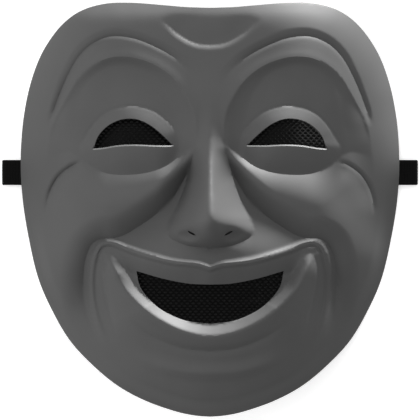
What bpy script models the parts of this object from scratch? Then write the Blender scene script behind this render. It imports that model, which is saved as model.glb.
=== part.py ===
"""A laughing theatre mask: one moulded shell, black screens behind its eyes and mouth, a flat elastic strap.

It lies on its rim, face up: X across the face, Y up it and Z out of it. Lengths here are in millimetres.
The right half is worked out and mirrored. A line is a few (x, y) points that a smooth curve runs through.
"""

import math

import bpy
import numpy as np
from mathutils import Vector
from mathutils.geometry import delaunay_2d_cdt

MM = 0.001

# The shell
DOME = 54.0  # height of the face's middle, without the nose
CROWN_RISE = 41.0  # the rim's height at the top of the forehead
CHIN_RISE = 29.0
STRAP_ARCH = 4.2
WALL = 2.3
RIM_WIDTH = 2.7
SIDE_POWER, CROWN_POWER, CHIN_POWER = 2.5, 5.1, 4.0  # how late the face turns down to the rim

OUTLINE = ((0, -98.2), (5, -97.9), (10.5, -97.1), (16.7, -95.6), (30.6, -90.7), (43.9, -83.6),
           (56.5, -73.3), (66.9, -62.1), (75.4, -47.8), (81.7, -33.4), (86.6, -13), (89.6, 7), (90.3, 26),
           (88.8, 45.4), (85.2, 62), (79.5, 76), (70.5, 88.2), (61.5, 94.7), (50, 98), (38, 98.4),
           (20, 97), (12, 96.3), (5, 96), (0, 95.9))
CROWN_FOLD = ((0, 78.3), (5.7, 78.9), (10.5, 80.7), (15.3, 83.8), (20.1, 87.9), (24.8, 91.7))
BROW_VALLEY = ((1, 57.3), (5.6, 60.2), (10.9, 67.2), (18.9, 73.4), (28.2, 78.3), (36.8, 81.4),
               (47.3, 82.3), (56.2, 78.8), (62.4, 73), (67.2, 65), (71.4, 55.7), (74.6, 47.1), (76.8, 39.5))
SOCKET_TOP = ((9.5, 12), (8.2, 22), (7.2, 30), (6.6, 38), (7.6, 46), (10.8, 53.4), (14.8, 59.5),
              (19.6, 64.4), (25.3, 68.3), (32, 71.1), (40.1, 72.7), (48.7, 71.9), (56.8, 67.8),
              (62.8, 61.7), (66.8, 55.1), (69.9, 50), (72.6, 45), (74.8, 39.5), (76.3, 33),
              (77.3, 25.5), (77.8, 18), (77.8, 8))
SOCKET_LOW = ((-8, 42), (0, 37), (7.6, 31), (11.5, 27.7), (14.8, 25.1), (21.5, 20.5), (29.6, 17.7),
              (40.1, 16.6), (48.6, 17.3), (54, 19.4), (58.8, 22.6), (63, 26), (67.3, 27.5),
              (72.7, 26.4), (78.8, 25), (96, 22))
LID = ((14.3, 29.6), (15, 35.3), (19.1, 41.1), (25.8, 46.6), (31.5, 48.7), (37.2, 49.3), (43, 48.6),
       (48, 46.9), (52.6, 43.8), (56.8, 38.9), (60, 33.6), (62.3, 29.7), (62, 26.6), (59.6, 22.9),
       (55.2, 19.8), (49.4, 17.4), (40.1, 16.7), (29.6, 17.7), (21.5, 20.5), (16.2, 24.8))
CHEEK_LINE = ((60.2, 23.4), (65.9, 21), (71.6, 16.7), (75.4, 11), (77.8, 3.3), (77.8, -2.9))
CHEEK_CREST = ((24.8, 11.5), (34, 8), (42, 4.6), (48.5, 1), (54.5, -4.5), (59.5, -11), (64.5, -20),
               (68.5, -31), (69.8, -43), (67.5, -55))
SMILE_FOLD = ((7.2, 30.6), (8.6, 23.9), (12.4, 14.3), (18.1, 5.2), (25.8, -2.2), (34.4, -8.2), (41, -12),
              (46.5, -13.4), (51.5, -13.6), (56, -16.2), (58.6, -21.5), (59.9, -28), (60.3, -35.5),
              (59.3, -46), (56, -57), (49.6, -67.6))
LIP_BORDER = ((0, -27), (2.9, -26), (6.2, -25.1), (11.5, -24.6), (19.1, -23.6), (28.6, -21.2),
              (38.2, -18.1), (44.9, -15.4), (49.5, -14.9), (52.4, -16.2), (54.6, -19.4), (55.9, -23.9),
              (56.8, -29.6), (57, -35.8), (56.5, -43), (55.2, -49.5), (53, -56), (50.2, -62), (46.8, -67.5))
CORNER_STEP = ((45.8, -19.1), (49.7, -22.4), (51.1, -28.6), (50.1, -38.2), (47.3, -50.1), (43.5, -62.1))
LOWER_LIP = ((46.8, -20.6), (47.2, -23), (46.4, -27.5), (44.4, -32.4), (41.6, -37), (37.9, -41.4),
             (32.8, -46.3), (26.8, -50.9), (20.3, -54.6), (13.5, -57.5), (6.5, -59.3),
             (2.4, -59.8), (0, -59.9))
UPPER_LIP_EDGE = ((0, -29.2), (9, -28.8), (19.5, -27.6), (31, -24.6), (41, -20.6))
NOSE_FOOT = ((5.4, 40), (5.8, 34), (7.3, 28.7), (9.2, 21.5), (11.1, 14.3), (13.5, 7.2), (16.7, 0),
             (19.1, -4.8), (20.4, -9.5), (19.3, -12.6), (15.6, -15), (9, -17.2), (0, -18))
CHIN_CREST = ((0, -77.4), (12, -76.8), (22, -74.6), (31, -70.6), (38, -65))
CHIN_GROOVE = ((0, -66.8), (10.5, -65.9), (20.1, -63), (29.6, -58.3), (35.3, -53.5), (39.2, -47.8))

# The openings, and the screens behind them
EYE_TOP = ((55.2, 29.1), (53, 34.9), (48.7, 39.6), (43, 42.5), (37.7, 43.2), (33.4, 42.5), (27.7, 39.6),
           (21.5, 34.4), (17.7, 30.6))
EYE_BOTTOM = ((17.7, 30.6), (26.3, 30.6), (36.3, 31), (43.9, 30.6), (50.1, 29.6), (55.2, 29.1))
MOUTH_BOTTOM = ((0, -54), (11.9, -52.3), (22.9, -47.3), (29.6, -41.5), (33.4, -35.8), (34.9, -28.9))
MOUTH_TOP = ((34.9, -28.9), (21.5, -32.7), (9.5, -34.9), (0, -35.3))
NOSTRIL_CENTRE, NOSTRIL_LONG, NOSTRIL_WIDE, NOSTRIL_TURN = (8.8, -11.1), 3.0, 1.3, 0.62
EYE_SCREEN_CENTRE, EYE_SCREEN_HALF = (36.6, 35.4), (24.5, 12.8)
MOUTH_SCREEN = ((0, -60.5), (16, -58.4), (29, -51.6), (38, -41.5), (42.5, -30), (42, -23.5),
                (34, -22.6), (22, -26.3), (10, -28.8), (0, -29.4))
SCREEN_THICK = 0.8
GAP = 0.3

# The strap
STRAP_Y, STRAP_WIDE, STRAP_THICK = 17.9, 12.0, 1.0
STRAP_OUT = 99.3  # where it folds back, outside the rim
STRAP_END_Z = 27.0  # height of its glued ends

# Mesh spacing
OUTER_STEP, INNER_STEP, LINE_STEP, FIELD_STEP = 3.9, 5.6, 3.6, 0.7


def trace(points, step):
    """A smooth line through the points, as points an even step apart: a centripetal Catmull-Rom curve."""
    p = np.array(points, float)
    p = np.vstack([2 * p[0] - p[1], p, 2 * p[-1] - p[-2]])
    pieces = []
    for p0, p1, p2, p3 in zip(p[:-3], p[1:-2], p[2:-1], p[3:]):
        t1 = math.dist(p0, p1) ** 0.5
        t2 = t1 + math.dist(p1, p2) ** 0.5
        t3 = t2 + math.dist(p2, p3) ** 0.5
        t = np.linspace(t1, t2, 20, endpoint=False)[:, None]
        a1 = (t1 - t) / t1 * p0 + t / t1 * p1
        a2 = (t2 - t) / (t2 - t1) * p1 + (t - t1) / (t2 - t1) * p2
        a3 = (t3 - t) / (t3 - t2) * p2 + (t - t2) / (t3 - t2) * p3
        b1 = (t2 - t) / t2 * a1 + t / t2 * a2
        b2 = (t3 - t) / (t3 - t1) * a2 + (t - t1) / (t3 - t1) * a3
        pieces.append((t2 - t) / (t2 - t1) * b1 + (t - t1) / (t2 - t1) * b2)
    return even(np.vstack(pieces + [p[-2:-1]]), step)


def even(line, step):
    run = np.concatenate([[0], np.cumsum(np.hypot(*np.diff(line, axis=0).T))])
    s = np.linspace(0, run[-1], max(3, round(run[-1] / step) + 1))
    return np.stack([np.interp(s, run, line[:, 0]), np.interp(s, run, line[:, 1])], 1)


def beside(points, x, y, step=0.8):
    """(distance, share of the way along). The distance is positive on the line's right-hand side."""
    line = trace(points, step)
    best = np.full(x.shape, 1e9)
    side = np.ones(x.shape)
    along = np.zeros(x.shape)
    run = 0.0
    for (ax, ay), (ux, uy) in zip(line[:-1], np.diff(line, axis=0)):
        length = math.hypot(ux, uy)
        wx, wy = x - ax, y - ay
        t = np.clip((wx * ux + wy * uy) / length**2, 0, 1)
        d = (wx - t * ux) ** 2 + (wy - t * uy) ** 2
        near = d < best
        best = np.where(near, d, best)
        side = np.where(near, np.where(ux * wy - uy * wx < 0, 1.0, -1.0), side)
        along = np.where(near, run + t * length, along)
        run += length
    return side * np.sqrt(best), along / run


def inside(loop, x, y):
    """Whether each point lies inside the closed loop."""
    odd = np.zeros(x.shape, bool)
    for (ax, ay), (bx, by) in zip(loop, np.roll(loop, -1, axis=0)):
        if ay != by:
            odd ^= ((ay > y) != (by > y)) & (x < (bx - ax) * (y - ay) / (by - ay) + ax)
    return odd


def ease(t):
    t = np.clip(t, 0, 1)
    return t * t * (3 - 2 * t)


def bell(dx, dy, sx, sy):
    return np.exp(-0.5 * ((dx / sx) ** 2 + (dy / sy) ** 2))


def notch(d, width):
    """1 on the line, falling to 0 at this distance, with a crease on the line."""
    return np.clip(1 - np.abs(d) / width, 0, 1) ** 2


def stations(x, knots, values):
    """A smooth curve through the stations that doesn't overshoot them."""
    k, v = np.array(knots, float), np.array(values, float)
    h = np.diff(k)
    s = np.diff(v) / h
    m = np.zeros(len(k))
    for i in range(1, len(k) - 1):
        if s[i - 1] * s[i] > 0:
            w1, w2 = 2 * h[i] + h[i - 1], h[i] + 2 * h[i - 1]
            m[i] = (w1 + w2) / (w1 / s[i - 1] + w2 / s[i])
    x = np.clip(x, k[0], k[-1])
    i = np.clip(np.searchsorted(k, x, side="right") - 1, 0, len(k) - 2)
    t = (x - k[i]) / h[i]
    start = v[i] * (1 + 2 * t) * (1 - t) ** 2 + h[i] * m[i] * t * (1 - t) ** 2
    return start + v[i + 1] * t * t * (3 - 2 * t) + h[i] * m[i + 1] * t * t * (t - 1)


def rim_height(x, y, out=1.0):
    """The rim's height: on the floor along the cheeks, arched over the strap, and risen to crown and chin."""
    arch = 0.5 * (1 + np.cos(np.pi * np.clip((y - STRAP_Y) / 34, -1, 1))) * out**6
    across = np.clip(1 - (x / 87) ** 2, 0, 1) ** 0.95
    return STRAP_ARCH * arch + CROWN_RISE * ease((y - 38) / 56) * across + CHIN_RISE * ease((-42 - y) / 62)


def radius(angle):
    edge = trace(OUTLINE, 1.0)
    return np.interp(angle, np.arctan2(edge[:, 1], edge[:, 0]), np.hypot(edge[:, 0], edge[:, 1]))


def dome(x, y):
    """(height of the plain face, share of the way out to the rim)."""
    angle = np.arctan2(y, x)
    out = np.maximum(np.hypot(x, y) / radius(angle), 1e-6)
    up, down = np.clip(np.sin(angle), 0, 1) ** 2, np.clip(-np.sin(angle), 0, 1) ** 2
    power = SIDE_POWER + (CROWN_POWER - SIDE_POWER) * up + (CHIN_POWER - SIDE_POWER) * down
    rim = rim_height(x, y, out)
    return rim + (DOME - rim) * (1 - out**power), out


def forehead(x, y):
    d, a = beside(CROWN_FOLD, x, y)
    return -1.7 * ease((1 - a) / 0.45) * np.where(d > 0, notch(d, 3.4), np.exp(-((d / 8.5) ** 2)))


def brow(x, y):
    """The valley over each brow: a sharp drop into it from above, and a long rise on the eye's side."""
    d, a = beside(BROW_VALLEY, x, y)
    wide = 4.0 * (1 - 0.5 * ease((a - 0.55) / 0.45))
    reach = 9.5 * (1 - 0.6 * ease((a - 0.62) / 0.33))
    above, below = np.clip(1 - np.abs(d) / wide, 0, 1) ** 1.25, np.exp(-((np.abs(d) / reach) ** 1.2))
    return -2.2 * ease(a / 0.3) * ease((1 - a) / 0.1) * np.where(d < 0, above, below)


def socket(x, y):
    d, a = beside(SOCKET_TOP, x, y)
    low, _ = beside(SOCKET_LOW, x, y)
    depth, below = np.clip(d, 0, None), np.clip(low, 0, None)
    soft = 1 - ease((x - 9) / 22) * ease((y - 40) / 16)  # beside the nose its edge is a slope
    share = depth / (4.4 + 5.5 * soft)
    drop = 1.4 * (0.6 * ease(share) + 0.4 * np.clip(share, 0, 1)) * (1 - 0.25 * ease((x - 60) / 12))
    hollow = 4.5 * (1 - 0.8 * ease((x - 46) / 22)) * (1 - np.exp(-depth / 6.8))
    hollow = hollow + 1.6 * bell(x - 13, y - 25, 5, 5)  # the eye's inner corner
    rise = np.clip(1 - below / (6.5 + 9.5 * ease((x - 9) / 34) - 2 * ease((x - 54) / 9)), 0, 1) ** 1.8
    ridge = ease((a - 0.17) / 0.15) * ease((0.8 - a) / 0.1) * np.exp(-((d / np.where(d > 0, 1.6, 2.8)) ** 2))
    return 0.4 * ridge - (drop + hollow) * rise * ease((x / nose_width(y) - 0.45) / 0.75)


def eyeball(x, y, cx=35.8, cy=33.0):
    loop = trace(LID + LID[:1], 1.0)
    angle = np.arctan2(loop[:, 1] - cy, loop[:, 0] - cx)
    order = np.argsort(angle)
    angle, reach = angle[order], np.hypot(loop[:, 0] - cx, loop[:, 1] - cy)[order]
    angle = np.concatenate([angle - 2 * np.pi, angle, angle + 2 * np.pi])
    share = np.hypot(x - cx, y - cy) / np.interp(np.arctan2(y - cy, x - cx), angle, np.tile(reach, 3))
    return 5.6 * np.clip(1 - share**2, 0, None) ** 1.15


def cheek(x, y):
    d, a = beside(CHEEK_LINE, x, y)
    line = ease(a / 0.2) * ease((1 - a) / 0.45) * np.where(d > 0, np.exp(-((d / 6.0) ** 2)), notch(d, 2.2))
    d, a = beside(CHEEK_CREST, x, y)
    high = stations(a, (0, 0.2, 0.42, 0.62, 1), (3.4, 4.9, 7.0, 4.8, 0))
    return high * ease((x - 10) / 16) * np.exp(-((d / np.where(d > 0, 13, 16)) ** 2)) - 1.6 * line


def smile(x, y):
    """The fold from the nose round the mouth, and the muzzle inside it."""
    d, a = beside(SMILE_FOLD, x, y)
    across = ease(x / nose_width(y))
    outer = np.clip(1 - np.abs(d) / (4.4 + 6.6 * ease(a / 0.24)), 0, 1) ** 1.8
    fold = np.where(d < 0, outer, across * np.exp(-((np.abs(d) / 19.0) ** 1.6)))
    return 4.2 * bell(x, y + 23, 50, 10) - 8.4 * ease(a / 0.13) * ease((1 - a) / 0.3) * fold


def nose_width(y):
    return stations(y, (-9.5, -4.8, 0, 7.2, 14.3, 21.5, 28.7, 35, 43, 54.4),
                    (20.6, 19.2, 16.8, 13.6, 11.2, 9.3, 7.4, 6, 5.1, 4.5))


def nose(x, y):
    wide = nose_width(y)
    high = stations(y, (-6.7, -2.9, 2.4, 9.6, 19.1, 28.7, 36, 43, 50, 57),
                    (25.8, 25.2, 22.7, 18.0, 11.4, 5.4, 2.3, 0.8, 0.2, 0))
    wide = wide * np.sqrt(1 - np.clip((-9.5 - y) / 8.6, 0, 1) ** 2) + 1e-3
    high = high * (1 - np.clip((-3.4 - y) / 14.8, 0, 1) ** 2.2)
    nostril = 3.4 * bell(x - 10, y + 11.8, 3.4, 2.2)
    across = (np.sqrt(np.clip(x / wide, 0, 1) ** 2 + 0.05) - 0.224) / 0.801
    return high * (1 - across) - nostril


def lips(x, y):
    """The bead along the upper lip, the face under it that leans into the mouth, and the lower lip."""
    low, a_low = beside(LOWER_LIP, x, y)
    d, a = beside(LIP_BORDER, x, y)
    bead = np.where(d < 0, notch(d, 2.4), 1 - 0.75 * ease((d - 1.2) / 1.2))
    bead = bead * np.exp(-((np.clip(d, 0, None) / 20) ** 2))
    lean = 0.5 * np.clip(d - 1.8, 0, 9) * ease(1 + low / 3) * (1 - ease((x - 38) / 11))
    height = 1.5 * ease((1 - a) / 0.2) * bead
    d, a = beside(CORNER_STEP, x, y)
    step = np.where(d > 0, notch(d, 4.2), np.clip(1 - np.abs(d) / 5.6, 0, 1) ** 1.1)
    height = height - 1.5 * ease(a / 0.2) * ease((1 - a) / 0.4) * step
    inward = np.clip(low, 0, None)
    ledge = 4.1 - (1.45 + 0.5 * ease(a_low / 0.35)) * (inward - 0.9 * (1 - np.exp(-inward / 0.9)))
    above = 0.5 * (ledge + lean + np.sqrt((ledge + lean) ** 2 + 0.3))
    front = lean + 4.1 * np.exp(-((np.abs(low) / 8.0) ** 1.6))
    start = 1 - (1 - np.clip(a_low / 0.17, 0, 1)) ** 1.5
    return height - lean + start * np.where(low > 0, above, front)


def chin(x, y):
    d, a = beside(CHIN_GROOVE, x, y)
    height = 6.2 * bell(x, y + 84.5, 44, 16) - 1.3 * ease((1 - a) / 0.4) * notch(d, 3.6)
    d, a = beside(CHIN_CREST, x, y)
    return height + 2.0 * ease((1 - a) / 0.6) * np.exp(-((d / np.where(d > 0, 2.6, 3.6)) ** 2))


def face(x, y):
    """Height of the outer surface."""
    plain, out = dome(x, y)
    forms = (forehead, brow, socket, eyeball, cheek, smile, nose, lips, chin)
    return plain + ease((1 - out) / 0.09) * sum(form(x, y) for form in forms)


class Inner:
    """The inner surface: everywhere at least WALL from the outer one. It is worked out on a grid."""

    def __init__(self):
        self.x = np.arange(-8, 104, FIELD_STEP)
        self.y = np.arange(-108, 108, FIELD_STEP)
        gx, gy = np.meshgrid(self.x, self.y)
        high = face(np.abs(gx), gy)
        reach = int(WALL / FIELD_STEP) + 1
        low = np.full(high.shape, 1e9)
        for i in range(-reach, reach + 1):
            for j in range(-reach, reach + 1):
                away = (i * i + j * j) * FIELD_STEP**2
                if away < WALL**2:
                    moved = np.roll(np.roll(high, i, axis=0), j, axis=1)
                    low = np.minimum(low, moved - math.sqrt(WALL**2 - away))
        for _ in range(3):
            beside_it = np.roll(low, 1, 0) + np.roll(low, -1, 0) + np.roll(low, 1, 1) + np.roll(low, -1, 1)
            low = (low + beside_it) / 5
        self.z = low

    def __call__(self, x, y):
        u = np.clip((x - self.x[0]) / FIELD_STEP, 0, len(self.x) - 1.001)
        v = np.clip((y - self.y[0]) / FIELD_STEP, 0, len(self.y) - 1.001)
        i, j = v.astype(int), u.astype(int)
        s, t = v - i, u - j
        top = self.z[i, j] * (1 - t) + self.z[i, j + 1] * t
        return top * (1 - s) + (self.z[i + 1, j] * (1 - t) + self.z[i + 1, j + 1] * t) * s


def joined(*lines):
    return np.vstack([lines[0]] + [line[1:] for line in lines[1:]])


def eye_opening(step):
    return joined(trace(EYE_BOTTOM, step), trace(EYE_TOP, step))[:-1]


def mouth_opening(step):
    return joined(trace(MOUTH_BOTTOM, step), trace(MOUTH_TOP, step))


def nostril_opening():
    turn = np.linspace(0, 2 * np.pi, 8, endpoint=False)
    u, v = NOSTRIL_LONG / 2 * np.cos(turn), NOSTRIL_WIDE / 2 * np.sin(turn)
    c, s = math.cos(NOSTRIL_TURN), math.sin(NOSTRIL_TURN)
    return np.stack([NOSTRIL_CENTRE[0] + c * u - s * v, NOSTRIL_CENTRE[1] + s * u + c * v], 1)


def eye_screen_edge(step):
    turn = np.linspace(0, 2 * np.pi, 73)
    c, s = np.cos(turn), np.sin(turn)
    x = EYE_SCREEN_CENTRE[0] + EYE_SCREEN_HALF[0] * np.sign(c) * np.abs(c) ** 0.85
    y = EYE_SCREEN_CENTRE[1] + EYE_SCREEN_HALF[1] * np.sign(s) * np.abs(s) ** 0.85
    return even(np.stack([x, y], 1), step)[:-1]


def net(edge, lines, loops, step):
    """Triangles over the right half inside this edge, with sides along every line and loop."""
    points, sides = [], []

    def add(line, closed):
        first = len(points)
        points.extend(map(tuple, line))
        sides.extend((first + i, first + i + 1) for i in range(len(line) - 1))
        if closed:
            sides.append((first + len(line) - 1, first))

    middle = np.arange(edge[0][1] + step, edge[-1][1] - step / 2, step)[::-1]
    taken = [line[0][1] for line in lines + loops if abs(line[0][0]) < 1e-6]
    taken += [line[-1][1] for line in lines + loops if abs(line[-1][0]) < 1e-6]
    middle = [y for y in middle if all(abs(y - other) > 0.45 * step for other in taken)]
    add(np.vstack([edge] + [[(0.0, y)] for y in middle]), True)
    for line in lines:
        add(line, False)
    for loop in loops:
        add(loop, abs(loop[0][0]) > 1e-6)
    fixed = np.array(points)
    rows = np.arange(-100, 100, step * math.sqrt(3) / 2)
    for row, y in enumerate(rows):
        near = fixed[np.abs(fixed[:, 1] - y) < step]
        x = np.arange(step * (0.5 + 0.5 * (row % 2)), 95, step)
        free = (np.hypot(near[:, :1] - x, near[:, 1:] - y) > 0.62 * step).all(axis=0)
        points.extend((float(u), float(y)) for u in x[free])
    made = delaunay_2d_cdt([Vector(p) for p in points], sides, [], 0, 1e-5)
    at = np.array([tuple(v) for v in made[0]])
    at[np.abs(at[:, 0]) < 1e-3, 0] = 0.0
    triangles = np.array(made[2])
    centre = at[triangles].mean(axis=1)
    triangles = triangles[inside(edge, centre[:, 0], centre[:, 1])]
    a, b, c = at[triangles[:, 0]], at[triangles[:, 1]], at[triangles[:, 2]]
    turned = (b[:, 0] - a[:, 0]) * (c[:, 1] - a[:, 1]) - (b[:, 1] - a[:, 1]) * (c[:, 0] - a[:, 0]) < 0
    triangles[turned] = triangles[turned][:, ::-1]
    return at, triangles


def found(at, line):
    """The index of the net's point at each point of the line."""
    return [int(np.argmin(np.hypot(at[:, 0] - x, at[:, 1] - y))) for x, y in line]


def without(at, triangles, loops):
    centre = at[triangles].mean(axis=1)
    keep = np.ones(len(triangles), bool)
    for loop in loops:
        keep &= ~inside(loop, centre[:, 0], centre[:, 1])
    return triangles[keep]


def add_object(name, points, faces, material, smooth=35):
    used = sorted({i for face_points in faces for i in face_points})
    new = {old: i for i, old in enumerate(used)}
    mesh = bpy.data.meshes.new(name)
    mesh.from_pydata([tuple(points[i] * MM) for i in used], [], [[new[i] for i in f] for f in faces])
    mesh.materials.append(material)
    obj = bpy.data.objects.new(name, mesh)
    bpy.context.collection.objects.link(obj)
    bpy.context.view_layer.objects.active = obj
    obj.select_set(True)
    bpy.ops.object.shade_smooth()
    mesh.set_sharp_from_angle(angle=math.radians(smooth))
    obj.select_set(False)
    return obj


def with_mirror(points, faces):
    """The half and its mirror image, sharing the points of the middle."""
    count = len(points)
    twin = [i if abs(points[i][0]) < 1e-6 else count + i for i in range(count)]
    other = points * np.array([-1, 1, 1])
    return np.vstack([points, other]), faces + [[twin[i] for i in f][::-1] for f in faces]


def paint(name, colour, roughness):
    material = bpy.data.materials.new(name)
    material.use_nodes = True
    shader = material.node_tree.nodes["Principled BSDF"]
    shader.inputs["Base Color"].default_value = (*colour, 1)
    shader.inputs["Roughness"].default_value = roughness
    shader.inputs["Metallic"].default_value = 0
    return material


def inset(edge, width):
    """The outline moved in by the width, with its ends left on the middle."""
    way = np.gradient(edge, axis=0)
    way /= np.hypot(way[:, 0], way[:, 1])[:, None]
    way[0] = way[-1] = (1, 0)
    way[-1] = (-1, 0)
    moved = edge + width * np.stack([-way[:, 1], way[:, 0]], 1)
    moved[[0, -1], 0] = 0
    return moved


def build_shell(inner, edge, inner_edge, inner_net):
    openings = [eye_opening(LINE_STEP), nostril_opening(), mouth_opening(LINE_STEP)]
    creases = (CROWN_FOLD, BROW_VALLEY[1:-1], SOCKET_TOP[5:-4], SOCKET_LOW[4:-4], CHEEK_LINE, NOSE_FOOT,
               SMILE_FOLD[3:-3], LIP_BORDER, UPPER_LIP_EDGE, LOWER_LIP[2:])
    lines = [trace(line, LINE_STEP) for line in creases]
    at, triangles = net(edge, lines, openings, OUTER_STEP)
    triangles = without(at, triangles, openings)
    inner_at, inner_triangles = inner_net
    inner_triangles = without(inner_at, inner_triangles, openings)
    high = face(at[:, 0], at[:, 1])
    rim = found(at, edge)
    high[rim] = rim_height(edge[:, 0], edge[:, 1])
    low = inner(inner_at[:, 0], inner_at[:, 1])
    inner_rim = found(inner_at, inner_edge)
    low[inner_rim] = np.clip(np.minimum(low[inner_rim], rim_height(*inner_edge.T)), 0, None)
    points = np.vstack([np.column_stack([at, high]), np.column_stack([inner_at, low])])
    first = len(at)
    faces = triangles.tolist() + (inner_triangles[:, ::-1] + first).tolist()
    for i in range(len(edge) - 1):
        faces.append([rim[i + 1], rim[i], first + inner_rim[i], first + inner_rim[i + 1]])
    for loop in openings:
        over, under = found(at, loop), [first + i for i in found(inner_at, loop)]
        closed = abs(loop[0][0]) > 1e-6
        for i in range(len(loop) if closed else len(loop) - 1):
            j = (i + 1) % len(loop)
            faces.append([over[i], over[j], under[j], under[i]])
    points, faces = with_mirror(points, faces)
    return add_object("mask_shell", points, faces, paint("shell_plastic", (0.105, 0.105, 0.105), 0.5))


def build_screen(name, inner, net_made, loop, side, material):
    at, triangles = net_made
    centre = at[triangles].mean(axis=1)
    triangles = triangles[inside(loop, centre[:, 0], centre[:, 1])]
    high = inner(at[:, 0], at[:, 1]) - GAP
    points = np.vstack([np.column_stack([at, high]), np.column_stack([at, high - SCREEN_THICK])])
    first = len(at)
    faces = triangles.tolist() + (triangles[:, ::-1] + first).tolist()
    rim = found(at, loop)
    closed = abs(loop[0][0]) > 1e-6
    for i in range(len(loop) if closed else len(loop) - 1):
        a, b = rim[i], rim[(i + 1) % len(loop)]
        faces.append([b, a, first + a, first + b])
    if side == 0:
        points, faces = with_mirror(points, faces)
    if side < 0:
        points, faces = points * np.array([-1, 1, 1]), [f[::-1] for f in faces]
    return add_object(name, points, faces, material)


def strap_path(inner):
    """The strap's middle line on the right, from the floor at the middle to its end on the inner wall."""
    fold = STRAP_ARCH - 1.2  # height of the layer that runs out under the rim
    low = STRAP_THICK / 2 + 0.05
    bend = (fold - low) / 2
    path = [(0.0, low), (STRAP_OUT - STRAP_THICK / 2 - bend, low)]
    for angle in np.linspace(-90, 90, 8)[1:]:
        turn = math.radians(angle)
        path.append((path[1][0] + bend * math.cos(turn), low + bend + bend * math.sin(turn)))
    path += [(91.0, fold), (87.0, fold)]
    across = np.linspace(STRAP_Y - STRAP_WIDE / 2, STRAP_Y + STRAP_WIDE / 2, 7)
    x = np.linspace(60, 86, 131)
    wall = np.min([inner(x, np.full(x.shape, y)) for y in across], axis=0)
    slope = np.gradient(wall, x)
    away = GAP + 0.3 + STRAP_THICK / 2
    for height in (6.5, 9.0, 13.0, 17.0, 22.0, STRAP_END_Z):
        i = int(np.argmin(np.abs(wall - height)))
        size = math.hypot(slope[i], 1)
        path.append((x[i] + away * slope[i] / size, wall[i] - away / size))
    return np.array(path)


def build_strap(inner):
    path = strap_path(inner)
    path = np.vstack([path[::-1] * (-1, 1), path[1:]])
    way = np.gradient(path, axis=0)
    way /= np.hypot(way[:, 0], way[:, 1])[:, None]
    points, faces = [], []
    for (x, z), (wx, wz) in zip(path, way):
        ox, oz = -wz * STRAP_THICK / 2, wx * STRAP_THICK / 2
        for y in (STRAP_Y - STRAP_WIDE / 2, STRAP_Y + STRAP_WIDE / 2):
            points += [(x + ox, y, z + oz), (x - ox, y, z - oz)]
    for i in range(len(path) - 1):
        a, b = 4 * i, 4 * i + 4
        for j, k in ((2, 0), (3, 2), (1, 3), (0, 1)):
            faces.append([a + j, a + k, b + k, b + j])
    faces += [[0, 2, 3, 1], [len(points) - 4 + k for k in (0, 1, 3, 2)]]
    black = paint("strap_fabric", (0.012, 0.012, 0.012), 0.85)
    return add_object("elastic_strap", np.array(points), faces, black)


def main():
    for obj in list(bpy.data.objects):
        bpy.data.objects.remove(obj, do_unlink=True)
    inner = Inner()
    edge = trace(OUTLINE, LINE_STEP)
    inner_edge = inset(edge, RIM_WIDTH)
    eye_edge, mouth_edge = eye_screen_edge(INNER_STEP), trace(MOUTH_SCREEN, INNER_STEP)
    loops = [eye_opening(LINE_STEP), nostril_opening(), mouth_opening(LINE_STEP), eye_edge, mouth_edge]
    inner_net = net(inner_edge, [], loops, INNER_STEP)
    build_shell(inner, edge, inner_edge, inner_net)
    black = paint("screen_mesh", (0.008, 0.008, 0.008), 0.7)
    build_screen("eye_screen_right", inner, inner_net, eye_edge, 1, black)
    build_screen("eye_screen_left", inner, inner_net, eye_edge, -1, black)
    build_screen("mouth_screen", inner, inner_net, mouth_edge, 0, black)
    build_strap(inner)


main()
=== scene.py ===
"""The laughing theatre mask as it looks: moulded shell, perforated screens and woven elastic strap.

The shapes repeat the part's own named values, in millimetres.
X runs across the face, Y up it and Z out of it.
"""

import math

import bpy
import numpy as np
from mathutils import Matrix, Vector
from mathutils.geometry import delaunay_2d_cdt


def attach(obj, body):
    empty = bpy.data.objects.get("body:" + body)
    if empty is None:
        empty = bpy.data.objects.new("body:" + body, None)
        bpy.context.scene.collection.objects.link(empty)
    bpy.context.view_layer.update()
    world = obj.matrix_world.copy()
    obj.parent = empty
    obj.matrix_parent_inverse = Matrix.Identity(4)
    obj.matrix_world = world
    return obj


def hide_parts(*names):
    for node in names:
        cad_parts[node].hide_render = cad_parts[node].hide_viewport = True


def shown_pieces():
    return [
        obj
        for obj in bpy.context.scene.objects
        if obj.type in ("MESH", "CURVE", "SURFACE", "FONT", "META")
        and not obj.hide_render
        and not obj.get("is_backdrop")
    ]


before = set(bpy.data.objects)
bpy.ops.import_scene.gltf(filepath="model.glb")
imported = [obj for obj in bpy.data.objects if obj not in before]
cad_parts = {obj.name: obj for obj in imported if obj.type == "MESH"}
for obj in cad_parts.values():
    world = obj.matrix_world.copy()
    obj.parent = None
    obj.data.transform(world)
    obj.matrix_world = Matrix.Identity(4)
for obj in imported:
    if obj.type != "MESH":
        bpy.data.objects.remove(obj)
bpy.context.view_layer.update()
MM = 0.001

# The shell
DOME = 54.0  # height of the face's middle, without the nose
CROWN_RISE = 41.0  # the rim's height at the top of the forehead
CHIN_RISE = 29.0
STRAP_ARCH = 4.2
WALL = 2.3
RIM_WIDTH = 2.7
SIDE_POWER, CROWN_POWER, CHIN_POWER = 2.5, 5.1, 4.0  # how late the face turns down to the rim

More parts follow.
